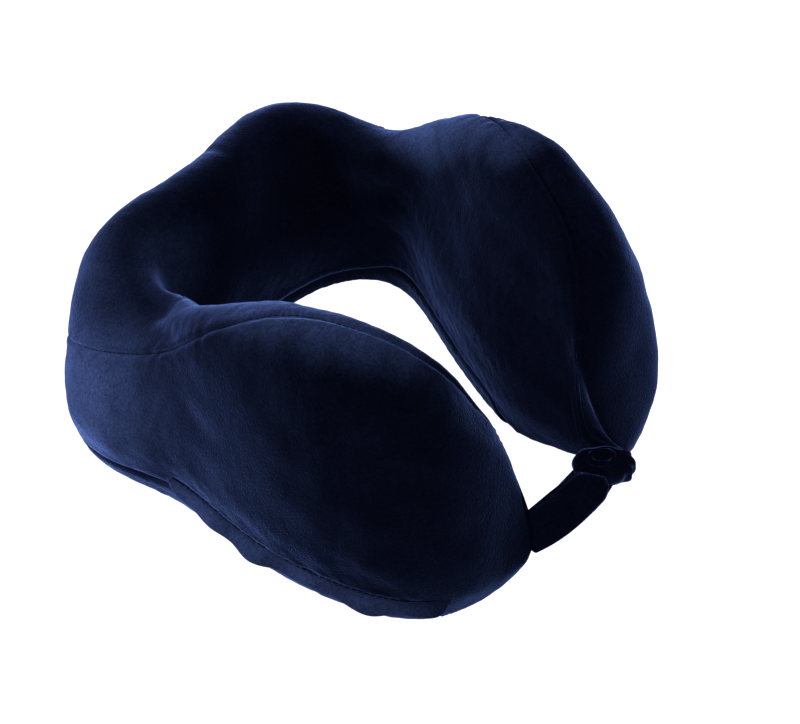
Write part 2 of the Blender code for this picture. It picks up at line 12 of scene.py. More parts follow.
import bmesh
import bpy
import numpy as np
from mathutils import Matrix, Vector


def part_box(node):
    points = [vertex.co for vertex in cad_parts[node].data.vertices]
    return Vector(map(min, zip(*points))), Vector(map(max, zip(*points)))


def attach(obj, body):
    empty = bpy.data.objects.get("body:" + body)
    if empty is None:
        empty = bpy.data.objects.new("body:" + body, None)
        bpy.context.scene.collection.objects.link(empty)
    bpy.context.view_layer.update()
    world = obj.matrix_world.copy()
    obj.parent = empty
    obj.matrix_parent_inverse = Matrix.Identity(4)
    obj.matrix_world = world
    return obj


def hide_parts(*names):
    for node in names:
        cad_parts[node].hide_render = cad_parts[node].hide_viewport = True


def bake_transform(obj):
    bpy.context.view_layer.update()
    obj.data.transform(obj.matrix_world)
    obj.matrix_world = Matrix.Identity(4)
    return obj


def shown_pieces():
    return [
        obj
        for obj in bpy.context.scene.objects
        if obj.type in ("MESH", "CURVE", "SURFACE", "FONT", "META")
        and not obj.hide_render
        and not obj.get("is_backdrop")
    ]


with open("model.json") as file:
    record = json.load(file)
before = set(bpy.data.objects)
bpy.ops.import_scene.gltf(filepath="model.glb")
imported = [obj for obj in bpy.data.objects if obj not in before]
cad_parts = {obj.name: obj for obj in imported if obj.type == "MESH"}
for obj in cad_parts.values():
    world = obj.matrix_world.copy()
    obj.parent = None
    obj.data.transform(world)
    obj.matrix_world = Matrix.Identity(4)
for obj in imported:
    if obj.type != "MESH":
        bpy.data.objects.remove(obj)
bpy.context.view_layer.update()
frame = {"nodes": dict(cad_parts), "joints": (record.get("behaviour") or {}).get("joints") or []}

# ---------------------------------------------------------------- the pillow's form, as in the CAD

CLOTH = 0.0013          # thickness of the velour
CORE_INSET = 0.0042     # the foam lies this deep under the velour's outside
CORE_FLOOR = 0.0035     # lowest height of the foam
SKIN_FLOOR = 0.0002     # lowest height of the cover
TIP_ROUND = 0.028       # radius of a tip's round cap
TIP_HEIGHT = 0.026      # height of a cap's pole
CONTROLS = 12           # control points of a section

# From the middle of the rear to a tip: centreline x and y, inner and outer half width, height,
# sideways lean of the crown, and the place of the top seam.
STATIONS = np.array([
    (0.0000, 0.1083, 0.0290, 0.0380, 0.1075, 0.0005, 7.2),
    (0.0570, 0.1028, 0.0335, 0.0370, 0.1035, 0.0120, 7.1),
    (0.0915, 0.0763, 0.0325, 0.0415, 0.0970, -0.0145, 5.95),
    (0.1030, 0.0333, 0.0330, 0.0180, 0.1185, -0.0120, 5.42),
    (0.0920, -0.0242, 0.0450, 0.0325, 0.1500, -0.0060, 4.5),
    (0.0685, -0.0852, 0.0455, 0.0430, 0.1395, -0.0020, 4.2),
    (0.0535, -0.1147, 0.0280, 0.0295, 0.0995, -0.0090, 4.05),
])
CENTRE_X, CENTRE_Y, HALF_INNER, HALF_OUTER, HEIGHT, LEAN, TOP_SEAM = range(7)

# Sections: places of the controls as shares of the half widths (inner, outer) and of the height.
SECTION_REAR = dict(foot=(0.86, 0.76), middle=(0.91, 0.965), shoulder=(0.64, 0.755),
                    middle_z=(0.43, 0.365), shoulder_z=(0.68, 0.72))
SECTION_ARM = dict(foot=(0.82, 0.825), middle=(0.955, 1.005), shoulder=(0.645, 0.705),
                   middle_z=(0.39, 0.305), shoulder_z=(0.735, 0.705))
SECTION_CHANGE = (0.30, 0.65)           # from the rear's section to the arm's
CROWN_Z = 0.965
FOOT_Z = 0.07
FOOT_BULGE = 0.002
TIP_LIFT = 0.0045                       # the underside rises this much at a tip
LIFT_START = 0.75
TIP_UNDER = 10.5                        # counts around of the middle of the underside
TIP_TURN = 2.3                          # the top seam turns inwards over the cap by these counts
TIP_TURN_SPAN = (1.0, 1.35)
THREAD_END = 1.25

BASE_SEAM_REAR_Z = 0.0085
BASE_SEAM_ARM_Z = 0.016
BASE_SEAM_RISE = (0.32, 0.50)           # where the base seam climbs from one to the other
BASE_POINT_INNER = (0.78, 0.99)         # where the base panel narrows to its point
BASE_POINT_OUTER = (0.88, 0.995)
BASE_END = 0.985
ZIP_SLOT = 0.0052                       # half height of the slot for the zip
ZIP_SPAN = (0.53, 0.55, 0.85, 0.87)     # the slot opens, is full, starts to close and is closed
OUTER_SIDE = (6.6, 8.9)                 # counts around of the outer side, from top to bottom
INNER_SIDE = (0.1, 2.4)                 # counts around of the inner side, from bottom to top

RING_STEP = 0.0018      # distance between rings of the fine surface
CAP_RINGS = 22
CAP_REACH = 0.993       # the last ring stays just short of the pole
COLUMNS = {"top": 92, "outer": 62, "base": 38}
EDGE_CROWDING = 0.65    # columns crowd towards the seams


def spline(column, at, odd=False):
    """Smooth curve through one column of STATIONS and its mirror image, straight beyond -1 and 1."""
    half = STATIONS[:, column]
    values = np.concatenate([-half[:0:-1] if odd else half[:0:-1], half])
    count = len(values)
    step = 2.0 / (count - 1)
    system = np.eye(count)
    right = np.zeros(count)
    for i in range(1, count - 1):
        system[i, i - 1:i + 2] = (1, 4, 1)
        right[i] = 6 * (values[i - 1] - 2 * values[i] + values[i + 1]) / step ** 2
    bend = np.linalg.solve(system, right)
    at = np.asarray(at, float)
    inside = np.clip(at, -1, 1)
    i = np.clip(((inside + 1) / step).astype(int), 0, count - 2)
    t = (inside + 1) / step - i
    line = values[i] * (1 - t) + values[i + 1] * t
    curve = ((1 - t) ** 3 - (1 - t)) * bend[i] + (t ** 3 - t) * bend[i + 1]
    end_slope = (values[-1] - values[-2]) / step + bend[-2] * step / 6
    beyond = (np.abs(at) - np.abs(inside)) * end_slope * (np.sign(at) if odd else 1)
    return line + curve * step ** 2 / 6 + beyond


def ease(value, start, end):
    t = np.clip((np.asarray(value, float) - start) / (end - start), 0, 1)
    return t * t * (3 - 2 * t)


def section_value(key, side, change):
    return SECTION_REAR[key][side] * (1 - change) + SECTION_ARM[key][side] * change


def section_controls(along, inset):
    """Control points (outward, up) of the sections, shape (rings, CONTROLS, 2)."""
    inner = spline(HALF_INNER, along) - inset
    outer = spline(HALF_OUTER, along) - inset
    height = spline(HEIGHT, along) - 2 * inset
    lean = spline(LEAN, along)
    lift = TIP_LIFT * np.clip((np.abs(along) - LIFT_START) / (1 - LIFT_START), 0, 1) ** 2
    change = ease(np.abs(along), *SECTION_CHANGE)

    def side_points(side, width, sign):
        foot = section_value("foot", side, change)
        middle = section_value("middle", side, change)
        shoulder = section_value("shoulder", side, change)
        ankle = width * (foot + middle) / 2 + FOOT_BULGE
        return [
            (sign * width * foot, lift),
            (sign * ankle, lift + FOOT_Z * height),
            (sign * width * middle, section_value("middle_z", side, change) * height + 0.6 * lift),
            (sign * width * shoulder + 0.5 * lean, section_value("shoulder_z", side, change) * height),
        ]

    crown = [(-0.35 * inner + lean, CROWN_Z * height), (0.30 * outer + lean, CROWN_Z * height)]
    under = [(0.30 * outer, 0.9 * lift), (-0.30 * inner, 0.9 * lift)]
    points = side_points(0, inner, -1) + crown + side_points(1, outer, 1)[::-1] + under
    return np.stack([np.stack(np.broadcast_arrays(n, z), -1) for n, z in points], 1)


def surface(along, around, inset=0.0):
    """World points of a grid: along has one value a ring, around has one row of values a ring."""
    along = np.asarray(along, float)
    around = np.broadcast_to(np.asarray(around, float), (len(along), np.shape(around)[-1]))
    cap = np.maximum(np.abs(along) - 1, 0) * math.pi / 2
    small = 1e-4
    tip_speed = math.hypot(spline(CENTRE_X, 1, True) - spline(CENTRE_X, 1 - small, True),
                           spline(CENTRE_Y, 1) - spline(CENTRE_Y, 1 - small)) / small
    run_on = (TIP_ROUND - inset) * np.sin(cap) / tip_speed
    at = np.sign(along) * (np.minimum(np.abs(along), 1) + run_on)
    controls = section_controls(at, inset)
    whole = np.floor(around).astype(int)
    t = (around - whole)[..., None]
    rows = np.arange(len(along))[:, None]
    a, b, c, d = (controls[rows, (whole + k) % CONTROLS] for k in (-1, 0, 1, 2))
    flat = 0.5 * (2 * b + (c - a) * t + (2 * a - 5 * b + 4 * c - d) * t ** 2
                  + (3 * b - a - 3 * c + d) * t ** 3)
    tangent_x = spline(CENTRE_X, at + small, True) - spline(CENTRE_X, at - small, True)
    tangent_y = spline(CENTRE_Y, at + small) - spline(CENTRE_Y, at - small)
    length = np.hypot(tangent_x, tangent_y)
    tangent_x, tangent_y = tangent_x / length, tangent_y / length
    centre_x = spline(CENTRE_X, at, True)
    centre_y = spline(CENTRE_Y, at)
    outward = flat[..., 0] * np.cos(cap)[:, None]
    up = np.maximum(flat[..., 1], 0) + inset
    up = TIP_HEIGHT + (up - TIP_HEIGHT) * np.cos(cap)[:, None]
    x = centre_x[:, None] - tangent_y[:, None] * outward
    y = centre_y[:, None] + tangent_x[:, None] * outward
    return np.stack([x, y, up], -1)


def outward_normals(along, around):
    """Unit normals of the loft at a grid of places, from small steps both ways."""
    step = 1e-3
    forward = surface(along + step, around) - surface(along - step, around)
    across = surface(along, around + step) - surface(along, around - step)
    normal = np.cross(forward, across)
    return normal / np.maximum(np.linalg.norm(normal, axis=-1, keepdims=True), 1e-12)


def around_at_height(along, height, low, high):
    """Where, between low and high, the section passes a height, for each ring."""
    counts = np.linspace(low, high, 241)
    heights = surface(along, counts)[..., 2]
    if heights[0, 0] > heights[0, -1]:
        counts, heights = counts[::-1], heights[:, ::-1]
    return np.array([np.interp(z, row, counts) for z, row in zip(height, heights)])


def slot_width(along, zipped):
    """Half the height of the slot that the zip sits in."""
    if not zipped:
        return np.zeros(len(along))
    start, full, end, closed = ZIP_SPAN
    place = np.abs(along)
    return ZIP_SLOT * ease(place, start, full) * (1 - ease(place, end, closed))


def base_seam_height(at):
    rise = ease(np.abs(at), *BASE_SEAM_RISE)
    return BASE_SEAM_REAR_Z * (1 - rise) + BASE_SEAM_ARM_Z * rise


def top_seam(along):
    """Where the top seam lies, as counts around."""
    turn = TIP_TURN * ease(np.abs(along), *TIP_TURN_SPAN)
    return spline(TOP_SEAM, np.clip(along, -1, 1)) - turn


def panel_edges(along, zipped):
    """Edges of the three panels as counts around: dict of name to (from, to)."""
    at = np.clip(along, -1, 1)
    place = np.abs(at)
    top = top_seam(along)
    height = base_seam_height(at)
    half_slot = slot_width(at, zipped)
    outer_high = around_at_height(at, height + half_slot, *OUTER_SIDE)
    outer_low = around_at_height(at, height - half_slot, *OUTER_SIDE)
    inner = around_at_height(at, height, *INNER_SIDE) + CONTROLS
    under = ease(place, *BASE_POINT_OUTER)
    outer_high = outer_high * (1 - under) + TIP_UNDER * under
    outer_low = outer_low * (1 - under) + TIP_UNDER * under
    under = ease(place, *BASE_POINT_INNER)
    inner = inner * (1 - under) + TIP_UNDER * under
    return {"top": (inner - CONTROLS, top), "outer": (top, outer_high), "base": (outer_low, inner)}


# ---------------------------------------------------------------- relief of the cloth

FLAP_Z = 0.024          # where the flap over the zip is sewn on
FLAP_START = (0.50, 0.525)
FLAP_END = (0.900, 0.950)
GROOVE_DEPTH = 0.0012
GROOVE_WIDTH = 0.0017
LIP_HEIGHT = 0.00025    # soft lip beside the groove
LIP_PLACE = 0.0042
LIP_WIDTH = 0.0024
PUCKER_PITCH = 0.0085   # distance from pucker to pucker along a seam
PUCKER_REACH = 0.006
PUCKER_TOP = (0.00035, 0.0005, 0.5, 0.16)   # height, extra height at the waist, its place and spread
PUCKER_BASE = 0.00035
SIDE_LENGTH = 0.31      # length of a seam from the middle of the rear to a tip
TIP_SOFTENING = (0.82, 0.90, 1.08)          # the seams flatten by this share between these places
FLAP_GROOVE = (0.0009, 0.0013)              # depth and width of the flap's sewn line
UNDULATION = ((0.0006, 0.075, 3, 26), (0.00022, 0.024, 4, 26))     # height, length, seed, waves
GRAIN = (0.00008, 0.0065, 5, 40)


def waves(points, length, seed, count=26):
    """A smooth random field of unit spread: a sum of plane waves of about one wavelength."""
    random = np.random.default_rng(seed)
    direction = random.normal(size=(count, 3))
    direction /= np.linalg.norm(direction, axis=1, keepdims=True)
    pitch = 2 * math.pi / (length * random.uniform(0.75, 1.35, count))
    phase = random.uniform(0, 2 * math.pi, count)
    field = np.zeros(points.shape[:-1])
    for way, size, shift in zip(direction, pitch, phase):
        field += np.cos(points @ (way * size) + shift)
    return field * math.sqrt(2 / count)


def seam_relief(distance, run, points, seed, pucker):
    """Height of the cloth near a seam: a groove, soft lips and puckers that fade away from it."""
    groove = -GROOVE_DEPTH * np.exp(-(distance / GROOVE_WIDTH) ** 2)
    lip = LIP_HEIGHT * np.exp(-((distance - LIP_PLACE) / LIP_WIDTH) ** 2)
    swing = run / PUCKER_PITCH * 2 * math.pi + 2.2 * waves(points, 0.03, seed)
    strength = pucker * (0.6 + 0.5 * waves(points, 0.05, seed + 1))
    fade = np.exp(-distance / PUCKER_REACH) * (1 - np.exp(-distance / 0.0012))
    return groove + lip + strength * np.sin(swing) * fade


# Soft folds pressed or pushed out of the filling: two ends, width and height.
FOLDS = (
    ((-0.0700, 0.0940, 0.0990), (-0.0860, 0.0640, 0.0970), 0.0085, -0.0042),
    ((-0.0470, 0.0960, 0.0930), (-0.0770, 0.0540, 0.1010), 0.0065, 0.0016),
    ((-0.0900, 0.0600, 0.0930), (-0.0980, 0.0400, 0.1020), 0.0060, -0.0015),
    ((0.0120, 0.1220, 0.1035), (0.0135, 0.1080, 0.1070), 0.0030, -0.0010),
    ((-0.1080, 0.0950, 0.0500), (-0.1150, 0.0900, 0.0250), 0.0090, 0.0012),
)


def folds(points):
    """Height of the soft folds: each fades smoothly away from the line between its two ends."""
    height = np.zeros(points.shape[:-1])
    for start, end, width, depth in FOLDS:
        start, end = np.array(start), np.array(end)
        way = end - start
        share = np.clip((points - start) @ way / (way @ way), 0, 1)
        away = np.linalg.norm(points - start - share[..., None] * way, axis=-1)
        height += depth * np.exp(-(away / width) ** 2)
    return height


def relief(points, along, arc, panel, side):
    """Height of the cloth above the loft, from its seams, soft folds and undulation."""
    at = np.clip(np.abs(along), 0, 1)
    run = (at * SIDE_LENGTH)[:, None]
    from_start = arc
    from_end = arc[:, -1:] - arc
    even, extra, waist, spread = PUCKER_TOP
    pucker_top = (even + extra * np.exp(-((at - waist) / spread) ** 2))[:, None]
    pucker_base = np.full((len(at), 1), PUCKER_BASE)
    deep = (1 - TIP_SOFTENING[0] * ease(np.abs(along), *TIP_SOFTENING[1:]))[:, None]
    amounts = {"top": (pucker_base, pucker_top), "outer": (pucker_top, pucker_base),
               "base": (pucker_base, pucker_base)}[panel]
    seeds = {"top": (31, 11), "outer": (11, 21), "base": (21, 31)}[panel]
    height = deep * seam_relief(from_start, run, points, seeds[0] + (side > 0), amounts[0])
    height += deep * seam_relief(from_end, run, points, seeds[1] + (side > 0), amounts[1])
    if side < 0 and panel == "outer":
        reach = (ease(at, *FLAP_START) * (1 - ease(at, *FLAP_END)))[:, None]
        height -= FLAP_GROOVE[0] * reach * np.exp(-((points[..., 2] - FLAP_Z) / FLAP_GROOVE[1]) ** 2)
    height += folds(points)
    free = ease(points[..., 2], 0.004, 0.03)
    for size, length, seed, count in UNDULATION:
        height += size * waves(points, length, seed, count) * free
    size, length, seed, count = GRAIN
    return height + size * waves(points, length, seed, count)


# ---------------------------------------------------------------- mesh building

def add_mesh(name, points, faces, smooth=True):
    """A new object at the origin from world points. Quads and triangles only."""
    mesh = bpy.data.meshes.new(name)
    mesh.from_pydata(np.asarray(points, float).reshape(-1, 3).tolist(), [], [tuple(f) for f in faces])
    work = bmesh.new()
    work.from_mesh(mesh)
    bmesh.ops.recalc_face_normals(work, faces=work.faces)
    work.to_mesh(mesh)
    work.free()
    if smooth:
        mesh.shade_smooth()
        mesh.set_sharp_from_angle(angle=math.radians(60))
    new = bpy.data.objects.new(name, mesh)
    bpy.context.scene.collection.objects.link(new)
    return new


def grid_faces(rows, count, wrap=False):
    """Quads of a grid of points, as an array. With wrap, the last column joins the first."""
    i, j = np.meshgrid(np.arange(rows - 1), np.arange(count if wrap else count - 1), indexing="ij")
    a = i * count + j
    b = i * count + (j + 1) % count
    return np.stack([a, a + count, b + count, b], -1).reshape(-1, 4)


def closed_faces(rows, count):
    """Faces of a closed form from rings of points: a wrapped grid with both ends filled."""
    faces = grid_faces(rows, count, wrap=True).tolist()
    faces.append(list(range(count)))
    faces.append(list(range((rows - 1) * count, rows * count)))
    return faces


def soften(piece):
    smooth = piece.modifiers.new("soften", "SUBSURF")
    smooth.levels = smooth.render_levels = 1


def sheet_faces(rows, count):
    """Faces of a thick sheet: an outer grid, an inner grid and the rims between them."""
    outer = grid_faces(rows, count)
    size = rows * count
    inner = outer[:, ::-1] + size
    rim = []
    for j in (0, count - 1):
        a = np.arange(rows - 1) * count + j
        rim.append(np.stack([a, a + count, a + count + size, a + size], -1))
    for i in (0, rows - 1):
        a = np.arange(count - 1) + i * count
        rim.append(np.stack([a, a + 1, a + 1 + size, a + size], -1))
    return np.concatenate([outer, inner, *rim]).tolist()


def tube(path, radius, sides=6):
    """Points and faces of a round closed tube along a path, with a point at each end."""
    path = np.asarray(path, float)
    way = np.gradient(path, axis=0)
    way /= np.linalg.norm(way, axis=1, keepdims=True)
    up = np.array([0.0, 0.0, 1.0])
    flat = np.cross(way, up)
    flat /= np.maximum(np.linalg.norm(flat, axis=1, keepdims=True), 1e-9)
    high = np.cross(flat, way)
    turn = np.linspace(0, 2 * math.pi, sides, endpoint=False)
    radius = np.broadcast_to(np.asarray(radius, float), (len(path),))[:, None, None]
    ring = flat[:, None] * np.cos(turn)[None, :, None] + high[:, None] * np.sin(turn)[None, :, None]
    points = path[:, None] + ring * radius
    return points.reshape(-1, 3), closed_faces(len(path), sides)


def join_parts(parts):
    """Joins (points, faces) pairs into one pair."""
    points, faces, start = [], [], 0
    for own, shape in parts:
        points.append(own)
        faces += [[i + start for i in f] for f in shape]
        start += len(own)
    return np.concatenate(points), faces


# ---------------------------------------------------------------- cover, foam and seams

def frame_joint(name):
    return next(joint for joint in frame["joints"] if joint["name"] == name)


SIDES = {"left": -1, "right": 1}


def bend_with_arm(piece):
    """Bakes a soft piece's transform into its mesh."""
    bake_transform(piece)


def ring_places():
    """Places along one side, from the middle of the rear to the pole of the tip's cap."""
    fine = np.linspace(0, 1, 801)
    x, y = spline(CENTRE_X, fine, True), spline(CENTRE_Y, fine)
    run = np.concatenate([[0], np.cumsum(np.hypot(np.diff(x), np.diff(y)))])
    count = int(run[-1] / RING_STEP)
    body = np.interp(np.linspace(0, run[-1], count), run, fine)
    cap = 1 + np.linspace(0, 1, CAP_RINGS + 1)[1:] * CAP_REACH
    return np.concatenate([body, cap])


def panel_grid(side, panel):
    """Outer points and normals of one cover panel, with the relief of its cloth."""
    place = ring_places()
    if panel == "base":
        place = place[place <= BASE_END]
    along = side * place
    start, end = panel_edges(along, side < 0)[panel]
    t = np.linspace(0, 1, COLUMNS[panel])
    t = t - EDGE_CROWDING * np.sin(2 * math.pi * t) / (2 * math.pi)
    around = start[:, None] + (end - start)[:, None] * t
    points = surface(along, around)
    normal = outward_normals(along, around)
    step = np.linalg.norm(np.diff(points, axis=1), axis=-1)
    arc = np.concatenate([np.zeros((len(along), 1)), np.cumsum(step, axis=1)], axis=1)
    height = relief(points, along, arc, panel, side)
    points = points + normal * height[..., None]
    points[..., 2] = np.maximum(points[..., 2], SKIN_FLOOR)
    return points, normal


def build_panel(side_name, panel, finish):
    """One side of a cover panel: a velour sheet over the foam, with a real thickness."""
    points, normal = panel_grid(SIDES[side_name], panel)
    inner = points - normal * CLOTH
    inner[..., 2] = np.maximum(inner[..., 2], SKIN_FLOOR + CLOTH * (normal[..., 2] < -0.5))
    rows, count = points.shape[:2]
    both = np.concatenate([points.reshape(-1, 3), inner.reshape(-1, 3)])
    piece = add_mesh(f"cover_{panel}_{side_name}", both, sheet_faces(rows, count))
    piece.data.materials.append(finish)
    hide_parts(f"cover_{panel}_rear", f"cover_{panel}_{side_name}_arm")
    bend_with_arm(piece)


def build_foam(side_name, finish):
    """The foam under one half of the cover. It follows the cover's soft folds."""
    place = ring_places()[::2]
    along = SIDES[side_name] * place
    around = np.linspace(0, CONTROLS, 72, endpoint=False)
    rings = surface(along, around, CORE_INSET)
    rings = rings + outward_normals(along, around) * folds(rings)[..., None]
    rings[..., 2] = np.maximum(rings[..., 2], CORE_FLOOR)
    piece = add_mesh(f"foam_core_{side_name}", rings, closed_faces(*rings.shape[:2]))
    piece.data.materials.append(finish)
    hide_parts("foam_core_rear", f"foam_core_{side_name}_arm")
    bend_with_arm(piece)


def stitches(line, length, gap, radius):
    """Separate short stitches along a line of points."""
    step = np.linalg.norm(np.diff(line, axis=0), axis=1)
    run = np.concatenate([[0], np.cumsum(step)])
    parts = []
    for start in np.arange(0, run[-1] - length, length + gap):
        at = start + np.linspace(0, length, 5)
        path = np.stack([np.interp(at, run, line[:, k]) for k in range(3)], -1)
        swell = radius * np.sin(np.linspace(0.35, math.pi - 0.35, 5)) ** 0.5
        parts.append(tube(path, swell, 6))
    return join_parts(parts)


SEAM_STITCH = (0.0022, 0.0011, 0.0002)      # length, gap and radius


def build_seam(side_name, finish):
    """Thread showing in the groove of the top seam."""
    side = SIDES[side_name]
    place = ring_places()
    place = place[place < THREAD_END]
    along = side * place
    around = top_seam(along)[:, None]
    line = (surface(along, around) - outward_normals(along, around) * GROOVE_DEPTH)[:, 0]
    piece = add_mesh(f"seam_thread_{side_name}", *stitches(line, *SEAM_STITCH))
    piece.data.materials.append(finish)
    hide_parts("seam_thread_rear", f"seam_thread_{side_name}_arm")
    bend_with_arm(piece)


# ---------------------------------------------------------------- zip

ZIP_CENTRE = np.array(frame_joint("zipper_slide")["pos_m"][:2])
ZIP_Z = BASE_SEAM_ARM_Z
PULL_PLACE = np.array(frame_joint("zipper_pull_swing")["pos_m"])
COIL_PITCH = 0.0013
COIL_WIRE = 0.00026     # radius of the coil's wire
BACKING_SPAN = (0.518, 0.882)
BACKING_HEIGHTS = (-0.0084, 0.0058)     # below and above the zip's middle
BACKING_INSET = (0.0036, 0.0040)        # its face and its back
BACKING_GAP = 0.0003    # clearance to the slider
FLAP_REACH = 0.0052     # how far the flap stands out over the zip
FLAP_UNDER_Z = 0.0196   # it stays above the slider and the pull
SLIDER_BUMP = 0.0048    # it bulges over the parked slider
SLIDER_BUMP_LENGTH = 0.0100
FLAP_WAVE = (0.0015, 0.030, 61)         # height, length and seed of its wavy edge
FLAP_PUFF = 0.0007
FLAP_STITCH = (0.0021, 0.0013, 0.0003)  # length, gap and radius
FLAP_SECTION = np.array([   # (share of the reach, share of the drop), over the top and back below
    (-0.10, 0.10), (0.02, -0.06), (0.14, -0.10), (0.30, -0.02), (0.48, 0.14), (0.66, 0.32),
    (0.82, 0.52), (0.94, 0.72), (1.00, 0.88), (0.97, 0.99), (0.88, 1.00), (0.72, 0.93),
    (0.52, 0.84), (0.30, 0.74), (0.08, 0.64), (-0.12, 0.60)])


def zip_angle(points):
    relative = np.asarray(points)[..., :2] - ZIP_CENTRE
    return np.degrees(np.arctan2(relative[..., 1], relative[..., 0])) % 360


def build_coil(which, finish):
    """A nylon wire wound round one tape edge, where the CAD has a plain tube."""
    node = frame["nodes"][f"zipper_coil_{which}"]
    corners = np.array([v.co for v in node.data.vertices])
    radius = np.linalg.norm(corners[:, :2] - ZIP_CENTRE, axis=1)
    angle = zip_angle(corners)
    low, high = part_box(f"zipper_coil_{which}")
    middle_radius, middle_z = (radius.min() + radius.max()) / 2, (low.z + high.z) / 2
    wound = (high.z - low.z) / 2 - COIL_WIRE
    length = math.radians(angle.max() - angle.min()) * middle_radius
    turns = int(length / COIL_PITCH)
    t = np.linspace(0, 1, turns * 12 + 1)
    turn = t * turns * 2 * math.pi
    at = np.radians(angle.min() + (angle.max() - angle.min()) * t)
    stand = middle_radius + wound * 0.8 * np.cos(turn)
    path = np.stack([ZIP_CENTRE[0] + stand * np.cos(at), ZIP_CENTRE[1] + stand * np.sin(at),
                     middle_z + wound * np.sin(turn)], -1)
    points, faces = tube(path, COIL_WIRE, 6)
    piece = add_mesh(f"zipper_coil_{which}_wire", points, faces)
    piece.data.materials.append(finish)
    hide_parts(f"zipper_coil_{which}")
    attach(piece, "arm_left")


def place_at(y):
    """How far along the left arm its side passes a given y."""
    places = np.linspace(*BACKING_SPAN, 200)
    around = around_at_height(-places, np.full(len(places), ZIP_Z), *OUTER_SIDE)[:, None]
    return float(np.interp(-y, -surface(-places, around)[:, 0, 1], places))


def build_tape_backing(finish):
    """The woven edges of the zip, which fill the slot around the slider's track."""
    low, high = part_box("zipper_slider")
    rear, front = (place_at(sum(v.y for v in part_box(stop)) / 2)
                   for stop in ("zipper_rear_stop", "zipper_front_stop"))
    bottom, top = ZIP_Z + BACKING_HEIGHTS[0], ZIP_Z + BACKING_HEIGHTS[1]
    strips = ((rear, front, high.z + BACKING_GAP, top), (rear, front, bottom, low.z - BACKING_GAP),
              (BACKING_SPAN[0], rear, bottom, top), (front, BACKING_SPAN[1], bottom, top))
    parts = []
    for start, end, foot, head in strips:
        along = -np.linspace(start, end, 120)
        around = np.stack([around_at_height(along, np.full(len(along), z), *OUTER_SIDE)
                           for z in np.linspace(foot, head, 7)], 1)
        points = np.concatenate([surface(along, around, inset=BACKING_INSET[0]),
                                 surface(along, around[:, ::-1], inset=BACKING_INSET[1])], 1)
        parts.append((points.reshape(-1, 3), closed_faces(*points.shape[:2])))
    piece = add_mesh("zipper_tape_backing", *join_parts(parts))
    piece.data.materials.append(finish)
    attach(piece, "arm_left")


def flap_rows():
    """Places, root points and outward directions of the flap along its seam."""
    place = np.linspace(FLAP_START[0], FLAP_END[1], 150)
    along = -place
    around = around_at_height(along, np.full(len(along), FLAP_Z), *OUTER_SIDE)[:, None]
    root = surface(along, around)[:, 0]
    outward = outward_normals(along, around)[:, 0] * (1, 1, 0)
    outward /= np.linalg.norm(outward, axis=1, keepdims=True)
    return place, root, outward


def build_flap(finish, thread):
    """A soft fold of the base cloth, sewn on above the zip, that hangs out over it."""
    place, root, outward = flap_rows()
    run = np.concatenate([[0], np.cumsum(np.linalg.norm(np.diff(root, axis=0), axis=1))])
    full = ease(place, *FLAP_START) * (1 - ease(place, *FLAP_END))
    full = np.sqrt(np.clip(full, 0.02, 1))
    parked = run[np.argmin(np.linalg.norm(root[:, :2] - PULL_PLACE[:2], axis=1))]
    slider = np.exp(-((run - parked) / SLIDER_BUMP_LENGTH) ** 2)
    line = np.stack([run, run * 0, run * 0], -1)
    size, length, seed = FLAP_WAVE
    reach = (FLAP_REACH + size * waves(line, length, seed) + SLIDER_BUMP * slider) * full
    drop = FLAP_Z - FLAP_UNDER_Z
    out = FLAP_SECTION[:, 0] * reach[:, None]
    down = FLAP_SECTION[:, 1] * drop * np.sqrt(full)[:, None]
    points = root[:, None] + outward[:, None] * out[..., None]
    points[..., 2] -= down
    puff = 0.25 * waves(points, 0.012, 62) + 0.35 * waves(points, 0.03, 63)
    puff *= np.clip(FLAP_SECTION[:, 0], 0, 1)
    points[..., 2] = np.maximum(points[..., 2] + FLAP_PUFF * puff, FLAP_UNDER_Z)
    flap = add_mesh("zipper_flap", points, closed_faces(*points.shape[:2]))
    soften(flap)
    flap.data.materials.append(finish)
    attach(flap, "arm_left")
    seam = root + outward * 0.0001
    seam[:, 2] += 0.0009
    sewn = add_mesh("zipper_flap_stitches", *stitches(seam[4:-4], *FLAP_STITCH))
    sewn.data.materials.append(thread)
    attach(sewn, "arm_left")


# ---------------------------------------------------------------- strap and tab

BAND_RINGS = 64
BAND_COLUMNS = 40
TOPSTITCH = 0.80        # place of the sewn edge line, as a share of the half width
BAND_X = (0.0400, 0.0265, 0.0080, -0.0070, -0.0195)    # distances from the middle, root first
STRAP_OUTER = (-0.1400, -0.1452, -0.1478, -0.1488, -0.1488)
STRAP_INNER = (-0.1208, -0.1222, -0.1240, -0.1262, -0.1285)
TAB_OUTER = (-0.1385, -0.1425, -0.1452, -0.1460, -0.1462)
TAB_INNER = (-0.1215, -0.1213, -0.1212, -0.1212, -0.1212)
KEEPER_CENTRE = np.array((0.0280, -0.1343, 0.0192))
KEEPER_TURN = math.radians(-50.6)
KEEPER_HALF = np.array((0.0160, 0.0096, 0.0088))
KEEPER_GAP = 0.0011     # clearance to the strap's end
KEEPER_RING = (0.0062, 0.0042)


def edge_curve(values):
    """A smooth edge of a band through a few places, as a function of the distance BAND_X."""
    return np.poly1d(np.polyfit(BAND_X, values, 3))


